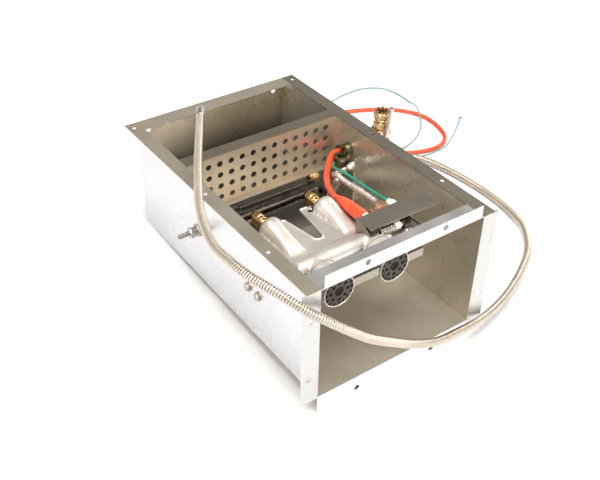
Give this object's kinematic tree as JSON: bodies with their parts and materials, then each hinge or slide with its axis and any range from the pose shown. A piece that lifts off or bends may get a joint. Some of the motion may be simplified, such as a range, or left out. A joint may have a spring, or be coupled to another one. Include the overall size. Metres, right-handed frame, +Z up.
{
  "type": "gas burner assembly",
  "caption": "Open-topped sheet-metal burner tray with twin in-shot gas burners, perforated partition, igniter, gas manifold, flexible metal hose and ignition leads.",
  "frame": {"origin": "centre of the underside of the box's floor", "axes": "+Z up out of the open top, +Y from the open front to the back wall, +X to the side with the gas inlet, hose and leads"},
  "size_m": [0.784, 0.702, 0.243],
  "materials": {
    "sheet_steel": "brushed",
    "bright_sheet": "satin",
    "aluminised_steel": "satin",
    "dark_steel": "matte",
    "bright_steel": "polished",
    "hose_steel": "satin",
    "brass": "satin",
    "copper": "satin",
    "ceramic": "glazed",
    "orange_silicone": "satin",
    "green_insulation": "satin",
    "black_rubber": "matte"
  },
  "bodies": {
    "root": {"left_side_panel": "sheet_steel", "right_side_panel": "sheet_steel", "floor_panel": "sheet_steel", "back_panel": "sheet_steel", "front_crossbar": "bright_sheet", "perforated_partition": "sheet_steel", "partition_rivets": "bright_steel", "gas_manifold": "dark_steel", "manifold_end_cap": "dark_steel", "manifold_cradle": "sheet_steel", "sheet_screws": "bright_steel", "gas_orifices": "brass", "manifold_elbow": "dark_steel", "feed_tube": "bright_steel", "feed_tube_nuts": "brass", "inlet_elbow": "bright_steel", "inlet_nipple": "dark_steel", "inlet_locknut": "bright_steel", "outer_elbow": "dark_steel", "brass_union_body": "brass", "brass_union_nut": "brass", "burner_upper_shell": "aluminised_steel", "burner_lower_shell": "aluminised_steel", "left_flame_barrel": "aluminised_steel", "right_flame_barrel": "aluminised_steel", "left_flame_disc": "aluminised_steel", "right_flame_disc": "aluminised_steel", "carryover_channels": "aluminised_steel", "burner_support": "sheet_steel", "support_bolts": "bright_steel", "support_nuts": "bright_steel", "igniter_bracket": "sheet_steel", "spark_insulator": "ceramic", "spark_rod": "bright_steel", "copper_ferrule": "copper", "spark_boot": "orange_silicone", "inner_spark_lead": "orange_silicone", "flame_rod_insulator": "ceramic", "flame_rod": "dark_steel", "inner_green_wire": "green_insulation", "pilot_tube": "bright_steel", "pilot_tube_nut": "copper", "pilot_wall_union": "bright_steel", "pilot_mixer": "bright_steel", "pilot_collar": "ceramic", "pilot_hood": "dark_steel", "pilot_supply_tube": "bright_steel", "wall_angle": "sheet_steel", "lead_grommet": "black_rubber", "wire_grommet": "black_rubber", "test_port_tube": "bright_steel", "test_port_nut": "dark_steel", "hose_coupling": "brass", "flexible_hose": "hose_steel", "hose_end_sleeve": "bright_steel", "spark_lead": "orange_silicone", "spark_lead_boot": "orange_silicone", "green_wire": "green_insulation", "wire_terminal": "bright_steel"}
  },
  "joints": []
}
